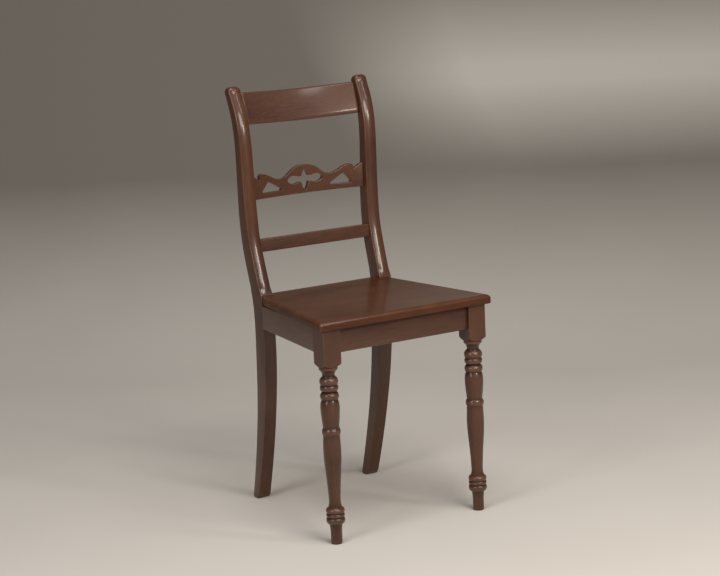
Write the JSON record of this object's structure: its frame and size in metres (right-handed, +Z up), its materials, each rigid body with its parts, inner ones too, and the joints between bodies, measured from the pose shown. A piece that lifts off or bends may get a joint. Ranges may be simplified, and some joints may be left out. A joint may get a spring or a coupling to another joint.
{
  "type": "wooden dining chair",
  "caption": "Polished wooden dining chair with turned front legs, curved rear posts, a solid seat, a bowed crest rail, a pierced scrolled rail and a plain lower back rail.",
  "frame": {"origin": "on the floor, under the middle of the chair's bounding box", "axes": "+Z up, +X towards the chair's right-hand leg as seen from the front, the front of the seat faces -Y"},
  "size_m": [0.4082, 0.422, 0.897],
  "materials": {
    "polished_wood": "satin polish, reddish brown",
    "block_wood": "bare",
    "dowel_wood": "bare",
    "screws": "plain"
  },
  "bodies": {
    "root": {"corner_block_screws": "screws", "crest_rail": "polished_wood", "front_rail": "polished_wood", "front_rail_dowels": "dowel_wood", "left_front_corner_block": "block_wood", "left_front_leg": "polished_wood", "left_rear_corner_block": "block_wood", "left_rear_post": "polished_wood", "left_side_rail": "polished_wood", "left_side_rail_dowels": "dowel_wood", "lower_back_rail": "polished_wood", "pierced_rail": "polished_wood", "rear_rail": "polished_wood", "rear_rail_dowels": "dowel_wood", "right_front_corner_block": "block_wood", "right_front_leg": "polished_wood", "right_rear_corner_block": "block_wood", "right_rear_post": "polished_wood", "right_side_rail": "polished_wood", "right_side_rail_dowels": "dowel_wood", "seat_panel": "polished_wood", "seat_screws": "screws"}
  },
  "joints": []
}
